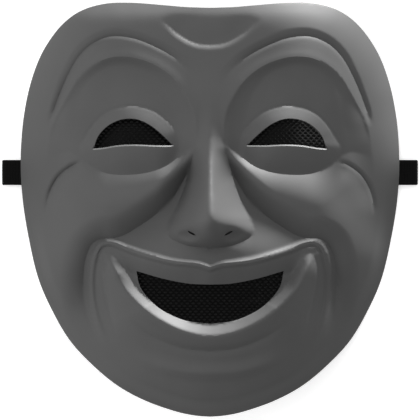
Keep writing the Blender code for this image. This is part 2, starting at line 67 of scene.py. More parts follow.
OUTLINE = ((0, -98.2), (5, -97.9), (10.5, -97.1), (16.7, -95.6), (30.6, -90.7), (43.9, -83.6),
           (56.5, -73.3), (66.9, -62.1), (75.4, -47.8), (81.7, -33.4), (86.6, -13), (89.6, 7), (90.3, 26),
           (88.8, 45.4), (85.2, 62), (79.5, 76), (70.5, 88.2), (61.5, 94.7), (50, 98), (38, 98.4),
           (20, 97), (12, 96.3), (5, 96), (0, 95.9))
CROWN_FOLD = ((0, 78.3), (5.7, 78.9), (10.5, 80.7), (15.3, 83.8), (20.1, 87.9), (24.8, 91.7))
BROW_VALLEY = ((1, 57.3), (5.6, 60.2), (10.9, 67.2), (18.9, 73.4), (28.2, 78.3), (36.8, 81.4),
               (47.3, 82.3), (56.2, 78.8), (62.4, 73), (67.2, 65), (71.4, 55.7), (74.6, 47.1), (76.8, 39.5))
SOCKET_TOP = ((9.5, 12), (8.2, 22), (7.2, 30), (6.6, 38), (7.6, 46), (10.8, 53.4), (14.8, 59.5),
              (19.6, 64.4), (25.3, 68.3), (32, 71.1), (40.1, 72.7), (48.7, 71.9), (56.8, 67.8),
              (62.8, 61.7), (66.8, 55.1), (69.9, 50), (72.6, 45), (74.8, 39.5), (76.3, 33),
              (77.3, 25.5), (77.8, 18), (77.8, 8))
SOCKET_LOW = ((-8, 42), (0, 37), (7.6, 31), (11.5, 27.7), (14.8, 25.1), (21.5, 20.5), (29.6, 17.7),
              (40.1, 16.6), (48.6, 17.3), (54, 19.4), (58.8, 22.6), (63, 26), (67.3, 27.5),
              (72.7, 26.4), (78.8, 25), (96, 22))
LID = ((14.3, 29.6), (15, 35.3), (19.1, 41.1), (25.8, 46.6), (31.5, 48.7), (37.2, 49.3), (43, 48.6),
       (48, 46.9), (52.6, 43.8), (56.8, 38.9), (60, 33.6), (62.3, 29.7), (62, 26.6), (59.6, 22.9),
       (55.2, 19.8), (49.4, 17.4), (40.1, 16.7), (29.6, 17.7), (21.5, 20.5), (16.2, 24.8))
CHEEK_LINE = ((60.2, 23.4), (65.9, 21), (71.6, 16.7), (75.4, 11), (77.8, 3.3), (77.8, -2.9))
CHEEK_CREST = ((24.8, 11.5), (34, 8), (42, 4.6), (48.5, 1), (54.5, -4.5), (59.5, -11), (64.5, -20),
               (68.5, -31), (69.8, -43), (67.5, -55))
SMILE_FOLD = ((7.2, 30.6), (8.6, 23.9), (12.4, 14.3), (18.1, 5.2), (25.8, -2.2), (34.4, -8.2), (41, -12),
              (46.5, -13.4), (51.5, -13.6), (56, -16.2), (58.6, -21.5), (59.9, -28), (60.3, -35.5),
              (59.3, -46), (56, -57), (49.6, -67.6))
LIP_BORDER = ((0, -27), (2.9, -26), (6.2, -25.1), (11.5, -24.6), (19.1, -23.6), (28.6, -21.2),
              (38.2, -18.1), (44.9, -15.4), (49.5, -14.9), (52.4, -16.2), (54.6, -19.4), (55.9, -23.9),
              (56.8, -29.6), (57, -35.8), (56.5, -43), (55.2, -49.5), (53, -56), (50.2, -62), (46.8, -67.5))
CORNER_STEP = ((45.8, -19.1), (49.7, -22.4), (51.1, -28.6), (50.1, -38.2), (47.3, -50.1), (43.5, -62.1))
LOWER_LIP = ((46.8, -20.6), (47.2, -23), (46.4, -27.5), (44.4, -32.4), (41.6, -37), (37.9, -41.4),
             (32.8, -46.3), (26.8, -50.9), (20.3, -54.6), (13.5, -57.5), (6.5, -59.3),
             (2.4, -59.8), (0, -59.9))
UPPER_LIP_EDGE = ((0, -29.2), (9, -28.8), (19.5, -27.6), (31, -24.6), (41, -20.6))
NOSE_FOOT = ((5.4, 40), (5.8, 34), (7.3, 28.7), (9.2, 21.5), (11.1, 14.3), (13.5, 7.2), (16.7, 0),
             (19.1, -4.8), (20.4, -9.5), (19.3, -12.6), (15.6, -15), (9, -17.2), (0, -18))
CHIN_CREST = ((0, -77.4), (12, -76.8), (22, -74.6), (31, -70.6), (38, -65))
CHIN_GROOVE = ((0, -66.8), (10.5, -65.9), (20.1, -63), (29.6, -58.3), (35.3, -53.5), (39.2, -47.8))

# The openings, and the screens behind them
EYE_TOP = ((55.2, 29.1), (53, 34.9), (48.7, 39.6), (43, 42.5), (37.7, 43.2), (33.4, 42.5), (27.7, 39.6),
           (21.5, 34.4), (17.7, 30.6))
EYE_BOTTOM = ((17.7, 30.6), (26.3, 30.6), (36.3, 31), (43.9, 30.6), (50.1, 29.6), (55.2, 29.1))
MOUTH_BOTTOM = ((0, -54), (11.9, -52.3), (22.9, -47.3), (29.6, -41.5), (33.4, -35.8), (34.9, -28.9))
MOUTH_TOP = ((34.9, -28.9), (21.5, -32.7), (9.5, -34.9), (0, -35.3))
EYE_SCREEN_CENTRE, EYE_SCREEN_HALF = (36.6, 35.4), (24.5, 12.8)
MOUTH_SCREEN = ((0, -60.5), (16, -58.4), (29, -51.6), (38, -41.5), (42.5, -30), (42, -23.5),
                (34, -22.6), (22, -26.3), (10, -28.8), (0, -29.4))
GAP = 0.3  # between a screen or the strap and the shell

# The strap
STRAP_Y, STRAP_WIDE, STRAP_THICK = 17.9, 12.0, 1.0
STRAP_OUT = 99.3  # where it folds back, outside the rim
STRAP_END_Z = 27.0  # height of its glued ends

# Details finer than the solid's
EYE_BEVEL, LID_BEVEL = 0.65, 0.2  # the widths of the bevels round an eye opening
BEVEL_DROP = 1.5  # how deep a bevel is, as a share of its width
SLIT = (8.7, -11.0), 2.1, 0.45, 0.5  # a nostril's slit: its middle, half its length and width, and its tilt
DISH_CENTRE, DISH_LONG, DISH_WIDE, DISH_TILT, DISH_DEPTH = (10.3, -12.2), 4.9, 2.6, 0.2, 0.9
HOLE_APART, ROW_APART = 2.66, 1.3  # the screens' holes: from hole to hole, and from row to row
HOLE_HALF = (0.8, 0.46)
SHEET_THICK = 0.6
WEB_DROP, HOLE_DROP = 0.02, 0.2  # the web's ridges stand higher than the holes' edges
STRAP_RIBS, RIB_DEPTH = 8, 0.16

# Mesh spacing
FIELD_STEP = 0.7
FINE_OUTER, FINE_INNER, FINE_LINE = ((0.78, 1.8, 0.75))
SCREEN_STEP = 1.5
STRAP_STEP = 0.6

# Colour, light and camera, with lengths in metres
SHELL_GREY = 0.08
ROOM_LIGHT = 0.8
ROOM_LEAN = (-0.55, 0.6, 0.35)  # the room is brighter this way
FLOOR_PAINTED_SHADOW = 0.07  # painted shadow: as far as this from the middle, under the mask, the floor's colour is dark and it doesn't glow
FLOOR_SHADOW_END = 0.085  # the painted shadow fades to the pale floor colour by here
FLOOR_FULL_GLOW = 0.09  # and the floor's painted glow is full from here
# painted light: how strongly the floor glows beyond the mask, washing out the mask's shadow round its rim
FLOOR_PAINTED_GLOW = 0.45
KEY_LIGHT, KEY_FROM = 13, (0.37, 0.87, -0.32)
GLINT_LIGHT, GLINT_FROM = 3.2, (0.9, 0.36, 0.25)
SUN_SPREAD = math.radians(10)
CAMERA_HEIGHT, VIEW_WIDTH = 6.0, 0.2005


def trace(points, step):
    """A smooth line through the points, as points an even step apart: a centripetal Catmull-Rom curve."""
    p = np.array(points, float)
    p = np.vstack([2 * p[0] - p[1], p, 2 * p[-1] - p[-2]])
    pieces = []
    for p0, p1, p2, p3 in zip(p[:-3], p[1:-2], p[2:-1], p[3:]):
        t1 = math.dist(p0, p1) ** 0.5
        t2 = t1 + math.dist(p1, p2) ** 0.5
        t3 = t2 + math.dist(p2, p3) ** 0.5
        t = np.linspace(t1, t2, 20, endpoint=False)[:, None]
        a1 = (t1 - t) / t1 * p0 + t / t1 * p1
        a2 = (t2 - t) / (t2 - t1) * p1 + (t - t1) / (t2 - t1) * p2
        a3 = (t3 - t) / (t3 - t2) * p2 + (t - t2) / (t3 - t2) * p3
        b1 = (t2 - t) / t2 * a1 + t / t2 * a2
        b2 = (t3 - t) / (t3 - t1) * a2 + (t - t1) / (t3 - t1) * a3
        pieces.append((t2 - t) / (t2 - t1) * b1 + (t - t1) / (t2 - t1) * b2)
    return even(np.vstack(pieces + [p[-2:-1]]), step)


def even(line, step):
    """The line with its points an even step apart."""
    run = np.concatenate([[0], np.cumsum(np.hypot(*np.diff(line, axis=0).T))])
    s = np.linspace(0, run[-1], max(3, round(run[-1] / step) + 1))
    return np.stack([np.interp(s, run, line[:, 0]), np.interp(s, run, line[:, 1])], 1)


def beside(points, x, y, step=0.8):
    """(distance, share of the way along). The distance is positive on the line's right-hand side."""
    line = trace(points, step)
    best = np.full(x.shape, 1e9)
    side = np.ones(x.shape)
    along = np.zeros(x.shape)
    run = 0.0
    for (ax, ay), (ux, uy) in zip(line[:-1], np.diff(line, axis=0)):
        length = math.hypot(ux, uy)
        wx, wy = x - ax, y - ay
        t = np.clip((wx * ux + wy * uy) / length**2, 0, 1)
        d = (wx - t * ux) ** 2 + (wy - t * uy) ** 2
        near = d < best
        best = np.where(near, d, best)
        side = np.where(near, np.where(ux * wy - uy * wx < 0, 1.0, -1.0), side)
        along = np.where(near, run + t * length, along)
        run += length
    return side * np.sqrt(best), along / run


def inside(loop, x, y):
    """Whether each point lies inside the closed loop."""
    odd = np.zeros(x.shape, bool)
    for (ax, ay), (bx, by) in zip(loop, np.roll(loop, -1, axis=0)):
        if ay != by:
            odd ^= ((ay > y) != (by > y)) & (x < (bx - ax) * (y - ay) / (by - ay) + ax)
    return odd


def ease(t):
    t = np.clip(t, 0, 1)
    return t * t * (3 - 2 * t)


def bell(dx, dy, sx, sy):
    """1 in the middle, falling away evenly on all sides."""
    return np.exp(-0.5 * ((dx / sx) ** 2 + (dy / sy) ** 2))


def notch(d, width):
    """1 on the line, falling to 0 at this distance, with a crease on the line."""
    return np.clip(1 - np.abs(d) / width, 0, 1) ** 2


def stations(x, knots, values):
    """A smooth curve through the stations that doesn't overshoot them."""
    k, v = np.array(knots, float), np.array(values, float)
    h = np.diff(k)
    s = np.diff(v) / h
    m = np.zeros(len(k))
    for i in range(1, len(k) - 1):
        if s[i - 1] * s[i] > 0:
            w1, w2 = 2 * h[i] + h[i - 1], h[i] + 2 * h[i - 1]
            m[i] = (w1 + w2) / (w1 / s[i - 1] + w2 / s[i])
    x = np.clip(x, k[0], k[-1])
    i = np.clip(np.searchsorted(k, x, side="right") - 1, 0, len(k) - 2)
    t = (x - k[i]) / h[i]
    start = v[i] * (1 + 2 * t) * (1 - t) ** 2 + h[i] * m[i] * t * (1 - t) ** 2
    return start + v[i + 1] * t * t * (3 - 2 * t) + h[i] * m[i + 1] * t * t * (t - 1)


def rim_height(x, y, out=1.0):
    """The rim's height: on the floor along the cheeks, arched over the strap, and risen to crown and chin."""
    arch = 0.5 * (1 + np.cos(np.pi * np.clip((y - STRAP_Y) / 34, -1, 1))) * out**6
    across = np.clip(1 - (x / 87) ** 2, 0, 1) ** 0.95
    return STRAP_ARCH * arch + CROWN_RISE * ease((y - 38) / 56) * across + CHIN_RISE * ease((-42 - y) / 62)


def radius(angle):
    edge = trace(OUTLINE, 1.0)
    return np.interp(angle, np.arctan2(edge[:, 1], edge[:, 0]), np.hypot(edge[:, 0], edge[:, 1]))


def dome(x, y):
    """(height of the plain face, share of the way out to the rim)."""
    angle = np.arctan2(y, x)
    out = np.maximum(np.hypot(x, y) / radius(angle), 1e-6)
    up, down = np.clip(np.sin(angle), 0, 1) ** 2, np.clip(-np.sin(angle), 0, 1) ** 2
    power = SIDE_POWER + (CROWN_POWER - SIDE_POWER) * up + (CHIN_POWER - SIDE_POWER) * down
    rim = rim_height(x, y, out)
    return rim + (DOME - rim) * (1 - out**power), out


def forehead(x, y):
    d, a = beside(CROWN_FOLD, x, y)
    return -1.7 * ease((1 - a) / 0.45) * np.where(d > 0, notch(d, 3.4), np.exp(-((d / 8.5) ** 2)))


def brow(x, y):
    """The valley over each brow: a sharp drop into it from above, and a long rise on the eye's side."""
    d, a = beside(BROW_VALLEY, x, y)
    wide = 4.0 * (1 - 0.5 * ease((a - 0.55) / 0.45))
    reach = 9.5 * (1 - 0.6 * ease((a - 0.62) / 0.33))
    above, below = np.clip(1 - np.abs(d) / wide, 0, 1) ** 1.25, np.exp(-((np.abs(d) / reach) ** 1.2))
    return -2.2 * ease(a / 0.3) * ease((1 - a) / 0.1) * np.where(d < 0, above, below)


def socket(x, y):
    d, a = beside(SOCKET_TOP, x, y)
    low, _ = beside(SOCKET_LOW, x, y)
    depth, below = np.clip(d, 0, None), np.clip(low, 0, None)
    soft = 1 - ease((x - 9) / 22) * ease((y - 40) / 16)  # beside the nose its edge is a slope
    share = depth / (4.4 + 5.5 * soft)
    drop = 1.4 * (0.6 * ease(share) + 0.4 * np.clip(share, 0, 1)) * (1 - 0.25 * ease((x - 60) / 12))
    hollow = 4.5 * (1 - 0.8 * ease((x - 46) / 22)) * (1 - np.exp(-depth / 6.8))
    hollow = hollow + 1.6 * bell(x - 13, y - 25, 5, 5)  # the eye's inner corner
    rise = np.clip(1 - below / (6.5 + 9.5 * ease((x - 9) / 34) - 2 * ease((x - 54) / 9)), 0, 1) ** 1.8
    ridge = ease((a - 0.17) / 0.15) * ease((0.8 - a) / 0.1) * np.exp(-((d / np.where(d > 0, 1.6, 2.8)) ** 2))
    return 0.4 * ridge - (drop + hollow) * rise * ease((x / nose_width(y) - 0.45) / 0.75)


def eyeball(x, y, cx=35.8, cy=33.0):
    loop = trace(LID + LID[:1], 1.0)
    angle = np.arctan2(loop[:, 1] - cy, loop[:, 0] - cx)
    order = np.argsort(angle)
    angle, reach = angle[order], np.hypot(loop[:, 0] - cx, loop[:, 1] - cy)[order]
    angle = np.concatenate([angle - 2 * np.pi, angle, angle + 2 * np.pi])
    share = np.hypot(x - cx, y - cy) / np.interp(np.arctan2(y - cy, x - cx), angle, np.tile(reach, 3))
    return 5.6 * np.clip(1 - share**2, 0, None) ** 1.15


def cheek(x, y):
    d, a = beside(CHEEK_LINE, x, y)
    line = ease(a / 0.2) * ease((1 - a) / 0.45) * np.where(d > 0, np.exp(-((d / 6.0) ** 2)), notch(d, 2.2))
    d, a = beside(CHEEK_CREST, x, y)
    high = stations(a, (0, 0.2, 0.42, 0.62, 1), (3.4, 4.9, 7.0, 4.8, 0))
    return high * ease((x - 10) / 16) * np.exp(-((d / np.where(d > 0, 13, 16)) ** 2)) - 1.6 * line


def smile(x, y):
    """The fold from the nose round the mouth, and the muzzle inside it."""
    d, a = beside(SMILE_FOLD, x, y)
    across = ease(x / nose_width(y))
    outer = np.clip(1 - np.abs(d) / (4.4 + 6.6 * ease(a / 0.24)), 0, 1) ** 1.8
    fold = np.where(d < 0, outer, across * np.exp(-((np.abs(d) / 19.0) ** 1.6)))
    return 4.2 * bell(x, y + 23, 50, 10) - 8.4 * ease(a / 0.13) * ease((1 - a) / 0.3) * fold


def nose_width(y):
    return stations(y, (-9.5, -4.8, 0, 7.2, 14.3, 21.5, 28.7, 35, 43, 54.4),
                    (20.6, 19.2, 16.8, 13.6, 11.2, 9.3, 7.4, 6, 5.1, 4.5))


def nose(x, y):
    wide = nose_width(y)
    high = stations(y, (-6.7, -2.9, 2.4, 9.6, 19.1, 28.7, 36, 43, 50, 57),
                    (25.8, 25.2, 22.7, 18.0, 11.4, 5.4, 2.3, 0.8, 0.2, 0))
    wide = wide * np.sqrt(1 - np.clip((-9.5 - y) / 8.6, 0, 1) ** 2) + 1e-3
    high = high * (1 - np.clip((-3.4 - y) / 14.8, 0, 1) ** 2.2)
    nostril = 3.4 * bell(x - 10, y + 11.8, 3.4, 2.2)
    across = (np.sqrt(np.clip(x / wide, 0, 1) ** 2 + 0.05) - 0.224) / 0.801
    return high * (1 - across) - nostril


def lips(x, y):
    """The bead along the upper lip, the face under it that leans into the mouth, and the lower lip."""
    low, a_low = beside(LOWER_LIP, x, y)
    d, a = beside(LIP_BORDER, x, y)
    bead = np.where(d < 0, notch(d, 2.4), 1 - 0.75 * ease((d - 1.2) / 1.2))
    bead = bead * np.exp(-((np.clip(d, 0, None) / 20) ** 2))
    lean = 0.5 * np.clip(d - 1.8, 0, 9) * ease(1 + low / 3) * (1 - ease((x - 38) / 11))
    height = 1.5 * ease((1 - a) / 0.2) * bead
    d, a = beside(CORNER_STEP, x, y)
    step = np.where(d > 0, notch(d, 4.2), np.clip(1 - np.abs(d) / 5.6, 0, 1) ** 1.1)
    height = height - 1.5 * ease(a / 0.2) * ease((1 - a) / 0.4) * step
    inward = np.clip(low, 0, None)
    ledge = 4.1 - (1.45 + 0.5 * ease(a_low / 0.35)) * (inward - 0.9 * (1 - np.exp(-inward / 0.9)))
    above = 0.5 * (ledge + lean + np.sqrt((ledge + lean) ** 2 + 0.3))
    front = lean + 4.1 * np.exp(-((np.abs(low) / 8.0) ** 1.6))
    start = 1 - (1 - np.clip(a_low / 0.17, 0, 1)) ** 1.5
    return height - lean + start * np.where(low > 0, above, front)


def chin(x, y):
    d, a = beside(CHIN_GROOVE, x, y)
    height = 6.2 * bell(x, y + 84.5, 44, 16) - 1.3 * ease((1 - a) / 0.4) * notch(d, 3.6)
    d, a = beside(CHIN_CREST, x, y)
    return height + 2.0 * ease((1 - a) / 0.6) * np.exp(-((d / np.where(d > 0, 2.6, 3.6)) ** 2))


def face(x, y):
    """Height of the outer surface."""
    plain, out = dome(x, y)
    forms = (forehead, brow, socket, eyeball, cheek, smile, nose, lips, chin)
    return plain + ease((1 - out) / 0.09) * sum(form(x, y) for form in forms)


class Inner:
    """The inner surface: everywhere at least WALL from the outer one. It is worked out on a grid."""

    def __init__(self):
        self.x = np.arange(-8, 104, FIELD_STEP)
        self.y = np.arange(-108, 108, FIELD_STEP)
        gx, gy = np.meshgrid(self.x, self.y)
        high = face(np.abs(gx), gy)
        reach = int(WALL / FIELD_STEP) + 1
        low = np.full(high.shape, 1e9)
        for i in range(-reach, reach + 1):
            for j in range(-reach, reach + 1):
                away = (i * i + j * j) * FIELD_STEP**2
                if away < WALL**2:
                    moved = np.roll(np.roll(high, i, axis=0), j, axis=1)
                    low = np.minimum(low, moved - math.sqrt(WALL**2 - away))
        for _ in range(3):
            beside_it = np.roll(low, 1, 0) + np.roll(low, -1, 0) + np.roll(low, 1, 1) + np.roll(low, -1, 1)
            low = (low + beside_it) / 5
        self.z = low

    def __call__(self, x, y):
        u = np.clip((x - self.x[0]) / FIELD_STEP, 0, len(self.x) - 1.001)
        v = np.clip((y - self.y[0]) / FIELD_STEP, 0, len(self.y) - 1.001)
        i, j = v.astype(int), u.astype(int)
        s, t = v - i, u - j
        top = self.z[i, j] * (1 - t) + self.z[i, j + 1] * t
        return top * (1 - s) + (self.z[i + 1, j] * (1 - t) + self.z[i + 1, j + 1] * t) * s


def joined(*lines):
    return np.vstack([lines[0]] + [line[1:] for line in lines[1:]])


def eye_opening(step):
    return joined(trace(EYE_BOTTOM, step), trace(EYE_TOP, step))[:-1]


def mouth_opening(step):
    return joined(trace(MOUTH_BOTTOM, step), trace(MOUTH_TOP, step))


def eye_screen_edge(step):
    turn = np.linspace(0, 2 * np.pi, 73)
    c, s = np.cos(turn), np.sin(turn)
    x = EYE_SCREEN_CENTRE[0] + EYE_SCREEN_HALF[0] * np.sign(c) * np.abs(c) ** 0.85
    y = EYE_SCREEN_CENTRE[1] + EYE_SCREEN_HALF[1] * np.sign(s) * np.abs(s) ** 0.85
    return even(np.stack([x, y], 1), step)[:-1]


def net(edge, lines, loops, step):
    """Triangles over the right half inside this edge, with sides along every line and loop."""
    points, sides = [], []

    def add(line, closed):
        first = len(points)
        points.extend(map(tuple, line))
        sides.extend((first + i, first + i + 1) for i in range(len(line) - 1))
        if closed:
            sides.append((first + len(line) - 1, first))

    middle = np.arange(edge[0][1] + step, edge[-1][1] - step / 2, step)[::-1]
    taken = [line[0][1] for line in lines + loops if abs(line[0][0]) < 1e-6]
    taken += [line[-1][1] for line in lines + loops if abs(line[-1][0]) < 1e-6]
    middle = [y for y in middle if all(abs(y - other) > 0.45 * step for other in taken)]
    add(np.vstack([edge] + [[(0.0, y)] for y in middle]), True)
    for line in lines:
        add(line, False)
    for loop in loops:
        add(loop, abs(loop[0][0]) > 1e-6)
    fixed = np.array(points)
    rows = np.arange(-100, 100, step * math.sqrt(3) / 2)
    for row, y in enumerate(rows):
        near = fixed[np.abs(fixed[:, 1] - y) < step]
        x = np.arange(step * (0.5 + 0.5 * (row % 2)), 95, step)
        free = (np.hypot(near[:, :1] - x, near[:, 1:] - y) > 0.62 * step).all(axis=0)
        points.extend((float(u), float(y)) for u in x[free])
    made = delaunay_2d_cdt([Vector(p) for p in points], sides, [], 0, 1e-5)
    at = np.array([tuple(v) for v in made[0]])
    at[np.abs(at[:, 0]) < 1e-3, 0] = 0.0
    triangles = np.array(made[2])
    centre = at[triangles].mean(axis=1)
    triangles = triangles[inside(edge, centre[:, 0], centre[:, 1])]
    a, b, c = at[triangles[:, 0]], at[triangles[:, 1]], at[triangles[:, 2]]
    turned = (b[:, 0] - a[:, 0]) * (c[:, 1] - a[:, 1]) - (b[:, 1] - a[:, 1]) * (c[:, 0] - a[:, 0]) < 0
    triangles[turned] = triangles[turned][:, ::-1]
    return at, triangles


def found(at, line):
    """The index of the net's point at each point of the line."""
    return [int(np.argmin(np.hypot(at[:, 0] - x, at[:, 1] - y))) for x, y in line]


def without(at, triangles, loops):
    centre = at[triangles].mean(axis=1)
    keep = np.ones(len(triangles), bool)
    for loop in loops:
        keep &= ~inside(loop, centre[:, 0], centre[:, 1])
    return triangles[keep]


def add_object(name, points, faces, material, smooth):
    """A smooth-shaded piece in metres, with an edge kept sharp where it turns more than this many degrees."""
    used = sorted({i for face_points in faces for i in face_points})
    new = {old: i for i, old in enumerate(used)}
    mesh = bpy.data.meshes.new(name)
    mesh.from_pydata([tuple(points[i] * MM) for i in used], [], [[new[i] for i in f] for f in faces])
    mesh.materials.append(material)
    obj = bpy.data.objects.new(name, mesh)
    bpy.context.collection.objects.link(obj)
    bpy.context.view_layer.objects.active = obj
    obj.select_set(True)
    bpy.ops.object.shade_smooth()
    mesh.set_sharp_from_angle(angle=math.radians(smooth))
    obj.select_set(False)
    return obj


def with_mirror(points, faces):
    """The half and its mirror image, sharing the points of the middle."""
    count = len(points)
    twin = [i if abs(points[i][0]) < 1e-6 else count + i for i in range(count)]
    other = points * np.array([-1, 1, 1])
    return np.vstack([points, other]), faces + [[twin[i] for i in f][::-1] for f in faces]


def paint(name, colour, roughness):
    material = bpy.data.materials.new(name)
    material.use_nodes = True
    shader = material.node_tree.nodes["Principled BSDF"]
    shader.inputs["Base Color"].default_value = (*colour, 1)
    shader.inputs["Roughness"].default_value = roughness
    shader.inputs["Metallic"].default_value = 0
    return material


def inset(edge, width):
    """The outline moved in by the width, with its ends left on the middle."""
    way = np.gradient(edge, axis=0)
    way /= np.hypot(way[:, 0], way[:, 1])[:, None]
    way[0], way[-1] = (1, 0), (-1, 0)
    moved = edge + width * np.stack([-way[:, 1], way[:, 0]], 1)
    moved[[0, -1], 0] = 0
    return moved


def moved_out(loop, width):
    """The closed loop moved out of its opening by this width at each point."""
    way = np.roll(loop, -1, axis=0) - np.roll(loop, 1, axis=0)
    way /= np.hypot(way[:, 0], way[:, 1])[:, None]
    return loop + width[:, None] * np.stack([way[:, 1], -way[:, 0]], 1)


def eye_bevel():
    """How wide the bevel round an eye opening is: broad along its lower edge, fine along its lid."""
    loop = eye_opening(FINE_LINE)
    lower = loop[:, 1] < 31.2 - 0.075 * np.clip(loop[:, 0] - 40, 0, None)
    return loop, np.where(lower, EYE_BEVEL, LID_BEVEL)


def oval(centre, half_long, half_wide, tilt):
    """A closed oval of 32 points, tilted by this many radians."""
    turn = np.linspace(0, 2 * np.pi, 32, endpoint=False)
    u, v = half_long * np.cos(turn), half_wide * np.sin(turn)
    c, s = math.cos(tilt), math.sin(tilt)
    return np.stack([centre[0] + c * u - s * v, centre[1] + s * u + c * v], 1)


def nostril_dish(x, y):
    """The shallow oval dish that each nostril's slit opens in."""
    c, s = math.cos(DISH_TILT), math.sin(DISH_TILT)
    dx, dy = x - DISH_CENTRE[0], y - DISH_CENTRE[1]
    share = ((c * dx + s * dy) / DISH_LONG) ** 2 + ((c * dy - s * dx) / DISH_WIDE) ** 2
    return -DISH_DEPTH * np.clip(1 - share, 0, 1) ** 0.7


def crisp_lines(x, y):
    """What the solid's wide spacing can't carry: the sharp bottoms of the creases, and the lids' borders."""
    d, a = beside(BROW_VALLEY, x, y)
    low = -0.45 * ease((a - 0.1) / 0.2) * ease((1 - a) / 0.05) * notch(d, 1.6)
    d, a = beside(CHEEK_LINE, x, y)
    low -= 0.5 * ease(a / 0.15) * ease((1 - a) / 0.2) * notch(d, 1.5)
    d, a = beside(LID[:12], x, y)
    low -= 0.3 * ease(a / 0.2) * ease((1 - a) / 0.1) * notch(d, 1.1)
    d, a = beside(LIP_BORDER, x, y)
    low -= 0.3 * ease((1 - a) / 0.5) * notch(d - 2.6, 1.0)
    d, a = beside(CORNER_STEP, x, y)
    low -= 0.35 * ease(a / 0.2) * ease((1 - a) / 0.3) * notch(d, 1.3)
    d, a = beside(SOCKET_TOP, x, y)
    step = np.clip(d, 0, None)
    temple = ease((a - 0.6) / 0.08) * ease((0.86 - a) / 0.06)
    return low - 0.55 * temple * (1 - np.exp(-step / 0.6)) * np.exp(-step / 9)


def fine_shell(inner):
    """The moulded shell, with the forms of the photograph down to its lip borders and bevelled openings."""
    edge = trace(OUTLINE, FINE_LINE)
    inner_edge = inset(edge, RIM_WIDTH)
    eye, bevel = eye_bevel()
    openings = [eye, oval(*SLIT), mouth_opening(FINE_LINE)]
    creases = (CROWN_FOLD, BROW_VALLEY[1:-1], SOCKET_TOP[5:-4], SOCKET_LOW[4:-4], CHEEK_LINE, NOSE_FOOT,
               SMILE_FOLD[3:-3], LIP_BORDER, UPPER_LIP_EDGE, LOWER_LIP[2:])
    lines = [trace(line, FINE_LINE) for line in creases]
    rings = [moved_out(eye, bevel), oval(DISH_CENTRE, DISH_LONG, DISH_WIDE, DISH_TILT)]
    at, triangles = net(edge, lines, openings + rings, FINE_OUTER)
    triangles = without(at, triangles, openings)
    inner_at, inner_triangles = net(inner_edge, [], openings, FINE_INNER)
    inner_triangles = without(inner_at, inner_triangles, openings)
    high = face(at[:, 0], at[:, 1]) + nostril_dish(at[:, 0], at[:, 1]) + crisp_lines(at[:, 0], at[:, 1])
    high[found(at, eye)] -= BEVEL_DROP * bevel
    rim = found(at, edge)
    high[rim] = rim_height(edge[:, 0], edge[:, 1])
    low = inner(inner_at[:, 0], inner_at[:, 1])
    inner_rim = found(inner_at, inner_edge)
    low[inner_rim] = np.clip(np.minimum(low[inner_rim], rim_height(*inner_edge.T)), 0, None)
    points = np.vstack([np.column_stack([at, high]), np.column_stack([inner_at, low])])
    first = len(at)
    faces = triangles.tolist() + (inner_triangles[:, ::-1] + first).tolist()
    for i in range(len(edge) - 1):
        faces.append([rim[i + 1], rim[i], first + inner_rim[i], first + inner_rim[i + 1]])
    for loop in openings:
        over, under = found(at, loop), [first + i for i in found(inner_at, loop)]
        closed = abs(loop[0][0]) > 1e-6
        for i in range(len(loop) if closed else len(loop) - 1):
            j = (i + 1) % len(loop)
            faces.append([over[i], over[j], under[j], under[i]])
    points, faces = with_mirror(points, faces)
    shell = add_object("shell_skin", points, faces, moulded_plastic(), 42)
    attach(shell, "root")
    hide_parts("mask_shell")


def moulded_plastic():
    """Grey matt plastic: a faint moulding grain, cloudy colour and patches of more and less gloss."""
    material = paint("grey_moulded_plastic", (0.1, 0.1, 0.1), 0.5)
    nodes, links = material.node_tree.nodes, material.node_tree.links
    shader = nodes["Principled BSDF"]
    shader.inputs["Specular IOR Level"].default_value = 0.15
    where = nodes.new("ShaderNodeTexCoord")
    cloud = nodes.new("ShaderNodeTexNoise")
    cloud.inputs["Scale"].default_value = 38
    cloud.inputs["Detail"].default_value = 5
    links.new(where.outputs["Object"], cloud.inputs["Vector"])
    tint = nodes.new("ShaderNodeValToRGB")
    tint.color_ramp.elements[0].position = 0.3
    tint.color_ramp.elements[0].color = (*[SHELL_GREY * 0.95] * 3, 1)
    tint.color_ramp.elements[1].position = 0.7
    tint.color_ramp.elements[1].color = (*[SHELL_GREY * 1.05] * 3, 1)
    links.new(cloud.outputs["Fac"], tint.inputs["Fac"])
    links.new(tint.outputs["Color"], shader.inputs["Base Color"])
    gloss = nodes.new("ShaderNodeMapRange")
    gloss.inputs["To Min"].default_value = 0.5
    gloss.inputs["To Max"].default_value = 0.68
    links.new(cloud.outputs["Fac"], gloss.inputs["Value"])
    form = nodes.new("ShaderNodeNewGeometry")
    wear = nodes.new("ShaderNodeMapRange")  # the raised borders are rubbed smoother than the flats
    wear.inputs["From Min"].default_value = 0.52
    wear.inputs["From Max"].default_value = 0.62
    wear.inputs["To Max"].default_value = -0.1
    links.new(form.outputs["Pointiness"], wear.inputs["Value"])
    rubbed = nodes.new("ShaderNodeMath")
    rubbed.operation = "ADD"
    links.new(gloss.outputs["Result"], rubbed.inputs[0])
    links.new(wear.outputs["Result"], rubbed.inputs[1])
    links.new(rubbed.outputs["Value"], shader.inputs["Roughness"])
    grain = nodes.new("ShaderNodeTexNoise")
    grain.inputs["Scale"].default_value = 1300
    grain.inputs["Detail"].default_value = 4
    links.new(where.outputs["Object"], grain.inputs["Vector"])
    bump = nodes.new("ShaderNodeBump")
    bump.inputs["Strength"].default_value = 0.25
    bump.inputs["Distance"].default_value = 0.00008
    links.new(grain.outputs["Fac"], bump.inputs["Height"])
    links.new(bump.outputs["Normal"], shader.inputs["Normal"])
    return material


